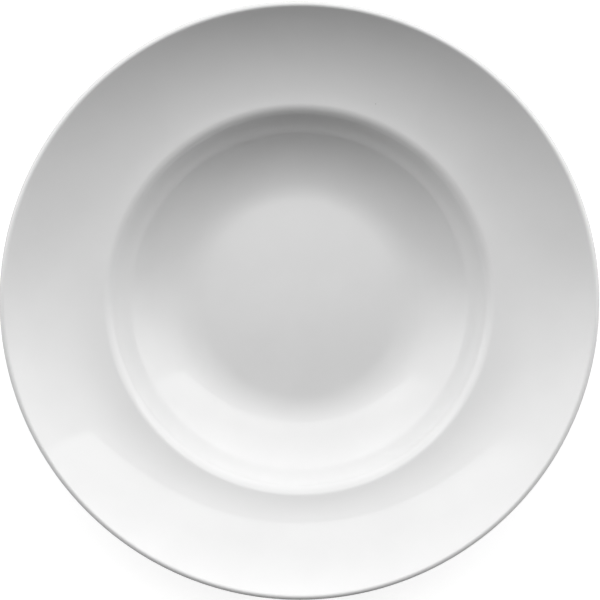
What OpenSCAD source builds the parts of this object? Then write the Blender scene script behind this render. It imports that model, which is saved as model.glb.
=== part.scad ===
// Rimmed soup plate: a turned porcelain body under a fired glaze.
// The plate stands on the table plane z = 0, its axis is +Z, and lengths are in millimetres.
// All sizes are those of the finished, glazed surface. The body lies one glaze coat below it.

/* [Plate] */
// Diameter over the lip
plate_d = 240; // [200:1:300]
// Thickness of the rim, whose lip is a full round
lip_t = 3; // [2.4:0.1:5]

/* [Well] */
// Diameter of the well's mouth, where the shoulder runs out into the rim
mouth_d = 160; // [130:1:184]
// Diameter of the floor, out to where the wall begins to rise
floor_d = 80; // [60:1:110]
// Height of the floor's gentle crown over its edge
floor_crown = 2.2; // [0.1:0.1:3]
// Steepest slope of the well's wall, in degrees
wall_angle = 58.5; // [40:0.5:65]
// Rounding of the shoulder between wall and rim
shoulder_r = 5.9; // [3:0.1:9]

/* [Rim] */
// Slope of the rim where it leaves the shoulder, in degrees
rim_in_angle = 4; // [0:0.5:12]
// Slope of the rim at the lip, in degrees
rim_out_angle = 39.5; // [20:0.5:45]

/* [Body] */
// Thickness of the well's wall
wall_t = 4; // [3:0.1:6]
// Thickness of the floor at its edge
floor_t = 4.2; // [3.5:0.1:7]
// Rounding of the back, under the shoulder
under_r = 9; // [4:0.5:16]

/* [Foot] */
// Mean diameter of the foot ring
foot_d = 110; // [96:1:124]
// Width of the foot ring at its tread
foot_w = 4; // [3:0.1:6]
// Depth of the recess inside the foot ring
foot_h = 3.4; // [2.4:0.1:6]
// Draft of the foot ring's two flanks, in degrees
foot_draft = 15; // [5:1:25]
// Rounding of the tread's two edges
tread_r = 0.9; // [0.4:0.1:1.4]
// Rounding where the flanks meet the back
foot_fillet = 2; // [1:0.1:4]

/* [Glaze] */
// Thickness of the glaze
glaze_t = 0.3; // [0.15:0.05:0.5]
// Height of the bare band that is wiped free of glaze round the tread
bare_h = 1.2; // [0.8:0.1:1.6]

/* [Hidden] */
// Largest turn, in degrees, and largest distance from one point of an arc to the next
arc_step = 3;
arc_chord = 2.5;
// Points closer than this are one point
weld = 0.001;
$fn = 180;

// Unit vector at an angle, and the upward normal of a surface that rises outwards at a slope
function along(angle) = [cos(angle), sin(angle)];
function above(slope) = along(90 + slope);
function angle_to(from, to) = atan2(to.y - from.y, to.x - from.x);

// Points of an arc about a centre, from one angle to another
function arc(centre, r, from, to) =
    let (
        turn = abs(to - from),
        steps = max(ceil(turn / arc_step), ceil(r * turn * PI / 180 / arc_chord))
    )
    [for (i = [0 : steps]) centre + r * along(from + (to - from) * i / steps)];

// Several runs of points as one, with the points that two runs share taken once
function joined(runs) =
    let (points = [for (run = runs) each run])
    [for (i = [0 : len(points) - 1])
        if (i == 0 || norm(points[i] - points[max(i - 1, 0)]) > weld) points[i]];

function reversed(points) = [for (i = [len(points) - 1 : -1 : 0]) points[i]];

// Where two circles cross, on the right of the line from the first centre to the second
function circles_cross(c1, r1, c2, r2) =
    let (
        apart = norm(c2 - c1),
        ahead = (c2 - c1) / apart,
        reach = (r1 * r1 - r2 * r2 + apart * apart) / (2 * apart)
    )
    c1 + reach * ahead + sqrt(r1 * r1 - reach * reach) * [ahead.y, -ahead.x];

// Where a ray first enters a circle
function ray_enters(start, direction, centre, r) =
    let (
        offset = start - centre,
        along_ray = offset * direction
    )
    start + direction * (-along_ray - sqrt(along_ray * along_ray - offset * offset + r * r));

// Where a line through a point reaches a height
function at_height(point, direction, z) = point + direction * (z - point.y) / direction.y;

// The upper face: crowned floor, concave wall, convex shoulder and concave rim, each tangent to the next
floor_r = floor_d / 2;
floor_edge_z = foot_h + floor_t;
crown_r = (floor_r * floor_r + floor_crown * floor_crown) / (2 * floor_crown);
crown_angle = asin(floor_r / crown_r);
crown_c = [0, floor_edge_z + floor_crown - crown_r];
shoulder_run = shoulder_r * (sin(wall_angle) - sin(rim_in_angle));
wall_r = (mouth_d / 2 - shoulder_run - floor_r) / (sin(wall_angle) + sin(crown_angle));
wall_c = crown_c + (crown_r + wall_r) * above(-crown_angle);
shoulder_c = wall_c - (wall_r + shoulder_r) * above(wall_angle);
lip_r = lip_t / 2;
rim_run = plate_d / 2 - lip_r - lip_r * sin(rim_out_angle) - mouth_d / 2;
rim_r = rim_run / (sin(rim_out_angle) - sin(rim_in_angle));
rim_c = shoulder_c + (shoulder_r + rim_r) * above(rim_in_angle);
lip_c = rim_c - (rim_r + lip_r) * above(rim_out_angle);

// The back: rim and wall keep their thickness, and a rounding joins them under the shoulder
rim_back_r = rim_r + lip_t;
wall_back_r = wall_r + wall_t;
under_c = circles_cross(wall_c, wall_back_r + under_r, rim_c, rim_back_r + under_r);
under_rim_angle = angle_to(rim_c, under_c);
under_wall_angle = angle_to(wall_c, under_c);

// The foot ring: a bare tread with rounded edges and two drafted flanks
outer_flank_side = along(-foot_draft);
outer_flank_up = along(90 - foot_draft);
inner_flank_side = along(foot_draft - 180);
inner_flank_up = along(90 + foot_draft);
tread_half = foot_w / 2 - tread_r;
outer_tread_c = [foot_d / 2 + tread_half, tread_r];
inner_tread_c = [foot_d / 2 - tread_half, tread_r];
outer_fillet_c = ray_enters(
    outer_tread_c + (tread_r + glaze_t + foot_fillet) * outer_flank_side,
    outer_flank_up, wall_c, wall_back_r + foot_fillet);
outer_fillet_angle = angle_to(outer_fillet_c, wall_c);
// The recess's rounding ends above the bare band
inner_fillet = min(foot_fillet, (foot_h - bare_h) / (1 - sin(foot_draft)));
inner_fillet_c = at_height(
    inner_tread_c + (tread_r + glaze_t + inner_fillet) * inner_flank_side,
    inner_flank_up, foot_h - inner_fillet);

// Outline of the main coat, at a depth below the finished surface: from the centre of the floor,
// over the lip and down the back, to the edge of the bare band outside the foot ring
function main_outline(depth) = joined([
    arc(crown_c, crown_r - depth, 90, 90 - crown_angle),
    arc(wall_c, wall_r + depth, -90 - crown_angle, wall_angle - 90),
    arc(shoulder_c, shoulder_r - depth, 90 + wall_angle, 90 + rim_in_angle),
    arc(rim_c, rim_r + depth, rim_in_angle - 90, rim_out_angle - 90),
    arc(lip_c, lip_r - depth, 90 + rim_out_angle, rim_out_angle - 90),
    arc(rim_c, rim_back_r - depth, rim_out_angle - 90, under_rim_angle),
    arc(under_c, under_r + depth, under_rim_angle + 180, under_wall_angle + 180),
    arc(wall_c, wall_back_r - depth, under_wall_angle, outer_fillet_angle - 180),
    arc(outer_fillet_c, foot_fillet + depth, outer_fillet_angle, 180 - foot_draft),
    [at_height(outer_tread_c + (tread_r + glaze_t - depth) * outer_flank_side, outer_flank_up, bare_h)]
]);

// Outline of the bare foot ring, from its outer flank round the tread to its inner flank
tread_outline = joined([
    arc(outer_tread_c, tread_r, -foot_draft, -90),
    arc(inner_tread_c, tread_r, -90, foot_draft - 180)
]);

// Outline of the base coat, at a depth below the finished surface: from the edge of the bare band
// inside the foot ring to the centre of the recess
function base_outline(depth) = joined([
    [at_height(inner_tread_c + (tread_r + glaze_t - depth) * inner_flank_side, inner_flank_up, bare_h)],
    arc(inner_fillet_c, inner_fillet + depth, foot_draft, 90),
    [[0, foot_h + depth]]
]);

// A solid turned about the plate's axis
module turned(outline) {
    rotate_extrude() polygon(outline);
}

// The fired porcelain, bare only at the tread of its foot ring
module porcelain_body() {
    color("whitesmoke")
        turned(joined([main_outline(glaze_t), tread_outline, base_outline(glaze_t)]));
}

// One coat of glaze over floor, wall, rim, lip and back
module main_glaze() {
    color("white")
        turned(joined([main_outline(0), reversed(main_outline(glaze_t))]));
}

// The coat of glaze inside the foot ring, which the bare tread parts from the main coat
module base_glaze() {
    color("white")
        turned(joined([base_outline(0), reversed(base_outline(glaze_t))]));
}

porcelain_body();
main_glaze();
base_glaze();
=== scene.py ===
import cmath
import math

import bpy
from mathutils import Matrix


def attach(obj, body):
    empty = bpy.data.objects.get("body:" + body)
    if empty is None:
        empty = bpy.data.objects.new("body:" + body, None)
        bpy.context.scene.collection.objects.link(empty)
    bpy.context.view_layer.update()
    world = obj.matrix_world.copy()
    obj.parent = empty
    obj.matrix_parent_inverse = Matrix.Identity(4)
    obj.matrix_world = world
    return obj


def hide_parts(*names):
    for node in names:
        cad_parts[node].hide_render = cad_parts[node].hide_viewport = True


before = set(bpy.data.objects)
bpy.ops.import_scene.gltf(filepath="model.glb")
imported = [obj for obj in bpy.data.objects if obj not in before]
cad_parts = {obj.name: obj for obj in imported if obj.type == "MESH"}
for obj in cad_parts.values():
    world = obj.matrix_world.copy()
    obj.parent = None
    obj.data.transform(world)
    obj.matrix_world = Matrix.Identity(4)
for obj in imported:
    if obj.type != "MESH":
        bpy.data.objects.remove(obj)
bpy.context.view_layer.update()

# Fired body
# The plate itself is white porcelain, pressed in one mould with its foot ring and then fired.
# Glaze hides all of it but the tread, which is wiped bare so that the plate doesn't stick to the kiln shelf.

mm = 0.001
deg = math.pi / 180
plate_d = 240 * mm
lip_t = 3 * mm
mouth_d = 160 * mm
floor_d = 80 * mm
floor_crown = 2.2 * mm
wall_angle = 58.5 * deg
shoulder_r = 5.9 * mm
rim_in_angle = 4 * deg
rim_out_angle = 39.5 * deg
wall_t = 4 * mm
floor_t = 4.2 * mm
under_r = 9 * mm
foot_d = 110 * mm
foot_w = 4 * mm
foot_h = 3.4 * mm
foot_draft = 15 * deg
tread_r = 0.9 * mm
foot_fillet = 2 * mm
glaze_t = 0.3 * mm
bare_h = 1.2 * mm


# A point of the section is one complex number: its radius, and its height as the imaginary part.
def along(angle):
    return cmath.rect(1, angle)


def above(slope):
    return along(math.pi / 2 + slope)


def angle_to(start, end):
    return cmath.phase(end - start)


def circles_cross(c1, r1, c2, r2):
    apart = abs(c2 - c1)
    ahead = (c2 - c1) / apart
    reach = (r1 * r1 - r2 * r2 + apart * apart) / (2 * apart)
    return c1 + ahead * complex(reach, -math.sqrt(r1 * r1 - reach * reach))


def ray_enters(start, direction, centre, r):
    offset = start - centre
    nearest = -(offset * direction.conjugate()).real
    return start + direction * (nearest - math.sqrt(nearest * nearest - abs(offset) ** 2 + r * r))


def at_height(point, direction, z):
    return point + direction * (z - point.imag) / direction.imag


# Points of an arc, so close that no chord leaves it by more than the facet
def arc(centre, r, start, end, facet):
    steps = math.ceil(abs(end - start) / (2 * math.acos(1 - facet / r)))
    return [centre + cmath.rect(r, start + (end - start) * i / steps) for i in range(steps + 1)]


floor_r = floor_d / 2
floor_edge_z = foot_h + floor_t
crown_r = (floor_r * floor_r + floor_crown * floor_crown) / (2 * floor_crown)
crown_angle = math.asin(floor_r / crown_r)
crown_c = complex(0, floor_edge_z + floor_crown - crown_r)
shoulder_run = shoulder_r * (math.sin(wall_angle) - math.sin(rim_in_angle))
wall_r = (mouth_d / 2 - shoulder_run - floor_r) / (math.sin(wall_angle) + math.sin(crown_angle))
wall_c = crown_c + (crown_r + wall_r) * above(-crown_angle)
shoulder_c = wall_c - (wall_r + shoulder_r) * above(wall_angle)
lip_r = lip_t / 2
rim_run = plate_d / 2 - lip_r - lip_r * math.sin(rim_out_angle) - mouth_d / 2
rim_r = rim_run / (math.sin(rim_out_angle) - math.sin(rim_in_angle))
rim_c = shoulder_c + (shoulder_r + rim_r) * above(rim_in_angle)
lip_c = rim_c - (rim_r + lip_r) * above(rim_out_angle)
rim_back_r = rim_r + lip_t
wall_back_r = wall_r + wall_t
under_c = circles_cross(wall_c, wall_back_r + under_r, rim_c, rim_back_r + under_r)
under_rim_angle = angle_to(rim_c, under_c)
under_wall_angle = angle_to(wall_c, under_c)
outer_flank_side = along(-foot_draft)
outer_flank_up = along(math.pi / 2 - foot_draft)
inner_flank_side = along(foot_draft - math.pi)
inner_flank_up = along(math.pi / 2 + foot_draft)
tread_half = foot_w / 2 - tread_r
outer_tread_c = complex(foot_d / 2 + tread_half, tread_r)
inner_tread_c = complex(foot_d / 2 - tread_half, tread_r)
outer_fillet_c = ray_enters(
    outer_tread_c + (tread_r + glaze_t + foot_fillet) * outer_flank_side,
    outer_flank_up, wall_c, wall_back_r + foot_fillet)
outer_fillet_angle = angle_to(outer_fillet_c, wall_c)
inner_fillet = min(foot_fillet, (foot_h - bare_h) / (1 - math.sin(foot_draft)))
inner_fillet_c = at_height(
    inner_tread_c + (tread_r + glaze_t + inner_fillet) * inner_flank_side,
    inner_flank_up, foot_h - inner_fillet)


# The face from the centre of the floor over the lip and down the back to the foot ring's outer flank
def main_face(depth, facet):
    quarter = math.pi / 2
    runs = [
        (crown_c, crown_r - depth, quarter, quarter - crown_angle),
        (wall_c, wall_r + depth, -quarter - crown_angle, wall_angle - quarter),
        (shoulder_c, shoulder_r - depth, quarter + wall_angle, quarter + rim_in_angle),
        (rim_c, rim_r + depth, rim_in_angle - quarter, rim_out_angle - quarter),
        (lip_c, lip_r - depth, quarter + rim_out_angle, rim_out_angle - quarter),
        (rim_c, rim_back_r - depth, rim_out_angle - quarter, under_rim_angle),
        (under_c, under_r + depth, under_rim_angle + math.pi, under_wall_angle + math.pi),
        (wall_c, wall_back_r - depth, under_wall_angle, outer_fillet_angle - math.pi),
        (outer_fillet_c, foot_fillet + depth, outer_fillet_angle, math.pi - foot_draft),
    ]
    return [point for run in runs for point in arc(*run, facet)]


# The face from the foot ring's inner flank to the centre of the recess
def base_face(depth, facet):
    fillet = arc(inner_fillet_c, inner_fillet + depth, foot_draft, math.pi / 2, facet)
    return fillet + [complex(0, foot_h + depth)]


# A socket of a node tree. Arithmetic on wires adds Math nodes, and node() adds any other node.
class Wire:
    def __init__(self, socket):
        self.socket = socket

    def node(self, kind, settings, sockets, output=0):
        tree = self.socket.id_data
        made = tree.nodes.new(kind)
        for name, value in settings.items():
            setattr(made, name, value)
        for name, value in sockets.items():
            if isinstance(value, Wire):
                tree.links.new(value.socket, made.inputs[name])
            else:
                made.inputs[name].default_value = value
        return Wire(made.outputs[output]) if made.outputs else None

    def beside(self, output):
        return Wire(self.socket.node.outputs[output])

    def math(self, operation, a, b):
        return self.node("ShaderNodeMath", {"operation": operation}, {0: a, 1: b})

    def __add__(self, other):
        return self.math("ADD", self, other)

    def __sub__(self, other):
        return self.math("SUBTRACT", self, other)

    def __rsub__(self, other):
        return self.math("SUBTRACT", other, self)

    def __mul__(self, other):
        return self.math("MULTIPLY", self, other)

    def __truediv__(self, other):
        return self.math("DIVIDE", self, other)

    def __gt__(self, other):
        return self.math("GREATER_THAN", self, other)

    __radd__ = __add__
    __rmul__ = __mul__


# The lathe turns a section, whose two ends lie on the axis, into a closed skin
lathe = bpy.data.node_groups.new("lathe", "GeometryNodeTree")
lathe_inputs = {}
for input_name, input_kind in (
        ("Section", "NodeSocketGeometry"), ("Steps round", "NodeSocketInt"), ("Weld", "NodeSocketFloat"),
        ("Crease", "NodeSocketFloat"), ("Finish", "NodeSocketMaterial")):
    made_socket = lathe.interface.new_socket(input_name, in_out="INPUT", socket_type=input_kind)
    lathe_inputs[input_name] = made_socket.identifier
lathe.interface.new_socket("Skin", in_out="OUTPUT", socket_type="NodeSocketGeometry")
section_in = Wire(lathe.nodes.new("NodeGroupInput").outputs["Section"])
steps_in = section_in.beside("Steps round")
section_count = section_in.node(
    "GeometryNodeAttributeDomainSize", {"component": "MESH"}, {"Geometry": section_in})
skin = section_in.node(
    "GeometryNodeMeshGrid", {}, {"Vertices X": steps_in + 1, "Vertices Y": section_count})
point_index = skin.node("GeometryNodeInputIndex", {}, {})
section_index = skin.node(
    "FunctionNodeIntegerMath", {"operation": "MODULO"}, {0: point_index, 1: section_count})
step = skin.node(
    "FunctionNodeIntegerMath", {"operation": "DIVIDE_FLOOR"}, {0: point_index, 1: section_count})
section_point = skin.node(
    "GeometryNodeSampleIndex", {"data_type": "FLOAT_VECTOR", "domain": "POINT"},
    {"Geometry": section_in, "Value": skin.node("GeometryNodeInputPosition", {}, {}), "Index": section_index})
turned_point = skin.node(
    "ShaderNodeVectorRotate", {"rotation_type": "Z_AXIS"},
    {"Vector": section_point, "Angle": step / steps_in * (-2 * math.pi)})
skin = skin.node("GeometryNodeSetPosition", {}, {"Geometry": skin, "Position": turned_point})
skin = skin.node("GeometryNodeMergeByDistance", {}, {"Geometry": skin, "Distance": section_in.beside("Weld")})
skin = skin.node("GeometryNodeSetShadeSmooth", {"domain": "FACE"}, {"Geometry": skin, "Shade Smooth": True})
edge_turn = skin.node("GeometryNodeInputMeshEdgeAngle", {}, {}, "Unsigned Angle")
skin = skin.node(
    "GeometryNodeSetShadeSmooth", {"domain": "EDGE"},
    {"Geometry": skin, "Selection": edge_turn > section_in.beside("Crease"), "Shade Smooth": False})
skin = skin.node("GeometryNodeSetMaterial", {}, {"Geometry": skin, "Material": section_in.beside("Finish")})
skin = skin.node("GeometryNodeRealizeInstances", {}, {"Geometry": skin})
skin_out = lathe.nodes.new("NodeGroupOutput")
lathe.links.new(skin.socket, skin_out.inputs["Skin"])


steps_round = 240
weld = 0.001 * mm
crease = 40 * deg


# A piece turned about the plate's axis
def turned(name, section, finish):
    mesh = bpy.data.meshes.new(name + " section")
    mesh.from_pydata(
        [(point.real, 0, point.imag) for point in section],
        [(i, i + 1) for i in range(len(section) - 1)], [])
    piece = bpy.data.objects.new(name, mesh)
    bpy.context.scene.collection.objects.link(piece)
    turning = piece.modifiers.new("turning", "NODES")
    turning.node_group = lathe
    turning[lathe_inputs["Steps round"]] = steps_round
    turning[lathe_inputs["Weld"]] = weld
    turning[lathe_inputs["Crease"]] = crease
    turning[lathe_inputs["Finish"]] = finish
    bpy.context.view_layer.update()
    evaluated = piece.evaluated_get(bpy.context.evaluated_depsgraph_get())
    piece.data = bpy.data.meshes.new_from_object(evaluated)
    piece.modifiers.remove(turning)
    bpy.data.meshes.remove(mesh)
    return piece


# A new material, as the wire of its Object coordinates, from which the rest of it is built
def surface(name):
    material = bpy.data.materials.new(name)
    material.use_nodes = True
    material.node_tree.nodes.clear()
    return material, Wire(material.node_tree.nodes.new("ShaderNodeTexCoord").outputs["Object"])


# A cloudy value that lies about 0.5 and repeats about once in the given length
def cloud(spot, size, detail):
    return spot.node(
        "ShaderNodeTexNoise", {}, {"Vector": spot, "Scale": 1 / size, "Detail": detail}, "Fac")


# A soft step from 0 at one value to 1 at another
def between(value, low, high):
    return value.node(
        "ShaderNodeMapRange", {"interpolation_type": "SMOOTHSTEP"},
        {"Value": value, "From Min": low, "From Max": high})


def blended(amount, first, second):
    return amount.node(
        "ShaderNodeMix", {"data_type": "RGBA"}, {"Factor": amount, 6: first, 7: second}, 2)


fired_ior = 1.5
grain_size = 0.35 * mm
grain_depth = 0.02 * mm
rub_size = 4 * mm
rub_height = 0.3 * mm
rub_full_height = 0.02 * mm
rub_strength = 0.55
bare_roughness = 0.78
rub_polish = 0.3
bisque, spot = surface("bisque")
height = spot.node("ShaderNodeSeparateXYZ", {}, {"Vector": spot}, "Z")
grain = cloud(spot, grain_size, 3)
worn = between(cloud(spot, rub_size, 4), 0.42, 0.62)
rubbed = (1 - between(height, rub_full_height, rub_height)) * worn
bare_white = (0.70, 0.69, 0.665, 1)
bare_grain = (0.63, 0.615, 0.585, 1)
table_grey = (0.36, 0.355, 0.345, 1)
colour = blended(between(grain, 0.35, 0.7), bare_white, bare_grain)
colour = blended(rubbed * rub_strength, colour, table_grey)
relief = spot.node(
    "ShaderNodeBump", {}, {"Strength": 1.0, "Distance": 1.0, "Height": grain * grain_depth})
shader = spot.node(
    "ShaderNodeBsdfPrincipled", {},
    {"Base Color": colour, "Roughness": bare_roughness - rubbed * rub_polish,
     "IOR": fired_ior, "Normal": relief})
spot.node("ShaderNodeOutputMaterial", {}, {"Surface": shader})

hidden_facet = 0.015 * mm
shown_facet = 0.003 * mm
tread = arc(outer_tread_c, tread_r, -foot_draft, -math.pi / 2, shown_facet)
tread += arc(inner_tread_c, tread_r, -math.pi / 2, foot_draft - math.pi, shown_facet)
fired_body = turned(
    "fired_body", main_face(glaze_t, hidden_facet) + tread + base_face(glaze_t, hidden_facet), bisque)
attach(fired_body, "root")
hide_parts("porcelain_body")

# Main coat of glaze
# A thin clear glass over floor, wall, rim, lip and back, dipped on and melted to the body in the kiln.
# It draws up into a round bead where it was wiped off above the tread.

bead_r = glaze_t / 2
speck_spacing = 5 * mm
speck_share = 0.012
speck_depth = 0.02 * mm
speck_strength = 0.7
speck_roughness = 0.2
speck_grey = (0.30, 0.29, 0.28, 1)


# Fired glass over white porcelain: a gloss with a soft swell, a faint cloudiness and a few fine specks
def glaze(name, clear_white, cloudy_white, gloss, swell):
    material, spot = surface(name)
    cells = spot.node(
        "ShaderNodeTexVoronoi", {"feature": "F1"}, {"Vector": spot, "Scale": 1 / speck_spacing}, "Distance")
    pick = cells.node(
        "ShaderNodeTexWhiteNoise", {"noise_dimensions": "3D"}, {"Vector": cells.beside("Position")}, "Value")
    specks = (pick > 1 - speck_share) * (1 - between(cells, 0.03, 0.07))
    colour = blended(between(cloud(spot, 22 * mm, 3), 0.3, 0.7), clear_white, cloudy_white)
    colour = blended(specks * speck_strength, colour, speck_grey)
    roughness = gloss + cloud(spot, 14 * mm, 2) * (gloss * 0.5) + specks * speck_roughness
    waves = cloud(spot, 18 * mm, 1) * swell + cloud(spot, 1.6 * mm, 1) * (swell * 0.02)
    pits = specks * speck_depth
    relief = spot.node(
        "ShaderNodeBump", {}, {"Strength": 1.0, "Distance": 1.0, "Height": waves - pits})
    shader = spot.node(
        "ShaderNodeBsdfPrincipled", {},
        {"Base Color": colour, "Roughness": roughness, "IOR": fired_ior, "Normal": relief})
    spot.node("ShaderNodeOutputMaterial", {}, {"Surface": shader})
    return material


main_bead_c = at_height(
    outer_tread_c + (tread_r + bead_r) * outer_flank_side, outer_flank_up, bare_h + bead_r)
main_bead = arc(main_bead_c, bead_r, -foot_draft, -foot_draft - math.pi, shown_facet)
main_white = (0.71, 0.71, 0.71, 1)
main_cloud = (0.695, 0.695, 0.695, 1)
main_gloss = 0.015
main_swell = 0.004 * mm
main_glaze = glaze("main glaze", main_white, main_cloud, main_gloss, main_swell)
main_coat = turned(
    "main_coat", main_face(0, shown_facet) + main_bead + main_face(glaze_t, hidden_facet)[::-1], main_glaze)
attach(main_coat, "root")
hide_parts("main_glaze")

# Base coat of glaze
# The same glass inside the foot ring, which the bare tread parts from the main coat.
# It faces the kiln shelf, so it is a little duller and less even than the upper face.

base_bead_c = at_height(
    inner_tread_c + (tread_r + bead_r) * inner_flank_side, inner_flank_up, bare_h + bead_r)
base_bead = arc(base_bead_c, bead_r, foot_draft, foot_draft - math.pi, shown_facet)
base_white = (0.705, 0.705, 0.70, 1)
base_cloud = (0.67, 0.67, 0.66, 1)
base_gloss = 0.08
base_swell = 0.012 * mm
base_glaze = glaze("base glaze", base_white, base_cloud, base_gloss, base_swell)
base_coat = turned(
    "base_coat", base_face(glaze_t, hidden_facet)[::-1] + base_bead + base_face(0, shown_facet), base_glaze)
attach(base_coat, "root")
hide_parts("base_glaze")

# Floor
# A broad sheet of pale card under the plate, which takes the plate's shadow. It glows white to the camera,
# and less in reflections, but throws back no more light than card does.

floor_reach = 5.0
floor_gap = 0.1 * mm
floor_sides = 96
floor_glow = 0.75
mirrored_share = 0.4
fibre_size = 3 * mm
card, spot = surface("card")
path = spot.node("ShaderNodeLightPath", {}, {}, "Is Camera Ray")
looked_at = path + (path.beside("Is Glossy Ray") + path.beside("Is Transmission Ray")) * mirrored_share
card_white = (0.55, 0.55, 0.55, 1)
card_fibre = (0.54, 0.54, 0.54, 1)
matt = spot.node(
    "ShaderNodeBsdfDiffuse", {}, {"Color": blended(cloud(spot, fibre_size, 2), card_white, card_fibre)})
glow = spot.node(
    "ShaderNodeEmission", {}, {"Color": (1, 1, 1, 1), "Strength": looked_at * floor_glow})
both = spot.node("ShaderNodeAddShader", {}, {0: matt, 1: glow})
spot.node("ShaderNodeOutputMaterial", {}, {"Surface": both})
floor_mesh = bpy.data.meshes.new("floor")
floor_ring = [cmath.rect(floor_reach, 2 * math.pi * i / floor_sides) for i in range(floor_sides)]
floor_mesh.from_pydata([(p.real, p.imag, -floor_gap) for p in floor_ring], [], [range(floor_sides)])
card.cycles.emission_sampling = "NONE"
floor_mesh.materials.append(card)
floor = bpy.data.objects.new("floor", floor_mesh)
bpy.context.scene.collection.objects.link(floor)

# Lamps
# A broad window far behind the plate, pale walls at both sides and a pale ceiling give the light.
# The room in front of the plate is dark, which draws the lines in the wall of the well.

window_y = 3.0
window_half = window_y * math.tan(58 * deg)
window_low = 20 * deg
window_high = 71.5 * deg
wall_y = 0.5
wall_high = 65 * deg
skirting_y = -0.1
skirting_low = 1 * deg
window_light = 1.36
wall_light = 1.65
left_skirting_light = 2.5
right_skirting_light = 4.0


# A soft panel upright at the room's edge, from one lower corner to the opposite upper corner. The glaze
# doesn't mirror it, because the room that it mirrors is drawn below.
def panel(name, low, high, turn, radiance):
    lamp = bpy.data.lights.new(name, "AREA")
    lamp.shape = "RECTANGLE"
    lamp.size = math.hypot(high[0] - low[0], high[1] - low[1])
    lamp.size_y = high[2] - low[2]
    lamp.energy = radiance * math.pi * lamp.size * lamp.size_y
    holder = bpy.data.objects.new(name, lamp)
    holder.location = [(a + b) / 2 for a, b in zip(low, high)]
    holder.rotation_euler = (-math.pi / 2, 0, turn)
    holder.visible_camera = False
    holder.visible_glossy = False
    bpy.context.scene.collection.objects.link(holder)


# A side wall from the window forwards to a distance, between two heights given as angles seen from the plate
def side_wall(name, x, near_y, low_angle, high_angle, radiance):
    low = (x, near_y, abs(x) * math.tan(low_angle))
    high = (x, window_y, abs(x) * math.tan(high_angle))
    panel(name, low, high, -math.copysign(math.pi / 2, x), radiance)


window_foot = (-window_half, window_y, window_y * math.tan(window_low))
window_head = (window_half, window_y, window_y * math.tan(window_high))
panel("window", window_foot, window_head, 0, window_light)
side_wall("left skirting", -window_half, skirting_y, skirting_low, window_low, left_skirting_light)
side_wall("right skirting", window_half, skirting_y, skirting_low, window_low, right_skirting_light)
side_wall("left wall", -window_half, wall_y, window_low, wall_high, wall_light)
side_wall("right wall", window_half, wall_y, window_low, wall_high, wall_light)

# The room about the plate. Directions are unit vectors, and the window's edges are ratios of their parts.
ceiling_light = 0.83
overhead_light = 0.8
overhead_rise = 0.2
pale_wall_light = 0.5
pane_light = 1.2
blind_light = 0.3
pane_foot_share = 0.25
pane_top = (0.323, 0.341)
blind_top = (0.20, 0.24)
pane_foot = (0.12, 2.0)
left_end = (-2.1, -1.2)
right_end = (1.85, 2.0)
room = bpy.data.worlds.new("room")
room.use_nodes = True
bpy.context.scene.world = room
towards = Wire(room.node_tree.nodes.new("ShaderNodeTexCoord").outputs["Generated"])
sideways = towards.node("ShaderNodeSeparateXYZ", {}, {"Vector": towards}, "X")
window_side = sideways.beside("Y")
upward = sideways.beside("Z")
ceiling = between(window_side, -0.05, 0.25) * ceiling_light
overhead = between(window_side, -0.24, 0.0) * overhead_light + between(window_side, 0.0, 0.2) * overhead_rise
overhead = overhead * (1 - between(window_side, 0.33, 0.6))
aside = sideways.math("ABSOLUTE", sideways, 0)
pale_walls = between(aside, 0.15, 0.5) * between(window_side, -0.3, 0.1) * pale_wall_light
past_head = window_side / upward
past_foot = upward / window_side
across = sideways / window_side
width = between(across, *left_end) * (1 - between(across, *right_end))
bright_part = between(past_foot, *pane_foot) * (1 - pane_foot_share) + pane_foot_share
pane = between(past_head, *pane_top) * bright_part * width * pane_light
blind = between(past_head, *blind_top) * width * blind_light
mirrored = towards.node("ShaderNodeLightPath", {}, {}, "Is Glossy Ray")
seen = ceiling + mirrored * (overhead + pale_walls + pane + blind)
background = room.node_tree.nodes["Background"]
background.inputs["Color"].default_value = (1, 1, 1, 1)
room.node_tree.links.new(seen.socket, background.inputs["Strength"])

# Camera
# It looks down on the plate from 0.9 m, three degrees off the axis towards the window.
# The plate fills the frame.

picture = 600
plate_px = 299.9
plate_at = (299.45, 300.25)
distance = 0.9
tilt = 3 * deg
lens = bpy.data.cameras.new("camera")
lens.sensor_width = 36
lens.lens = plate_px / picture * lens.sensor_width * distance / (plate_d / 2)
lens.shift_x = (picture / 2 - plate_at[0]) / picture
sag = plate_px * plate_d / 2 / distance * math.sin(tilt) * math.cos(tilt)
lens.shift_y = (plate_at[1] + sag - picture / 2) / picture
lens.clip_start = 0.05
camera = bpy.data.objects.new("camera", lens)
camera.location = (0, distance * math.sin(tilt), lip_c.imag + distance * math.cos(tilt))
camera.rotation_euler = (-tilt, 0, 0)
bpy.context.scene.collection.objects.link(camera)
bpy.context.scene.camera = camera
bpy.context.scene.view_settings.view_transform = "Standard"
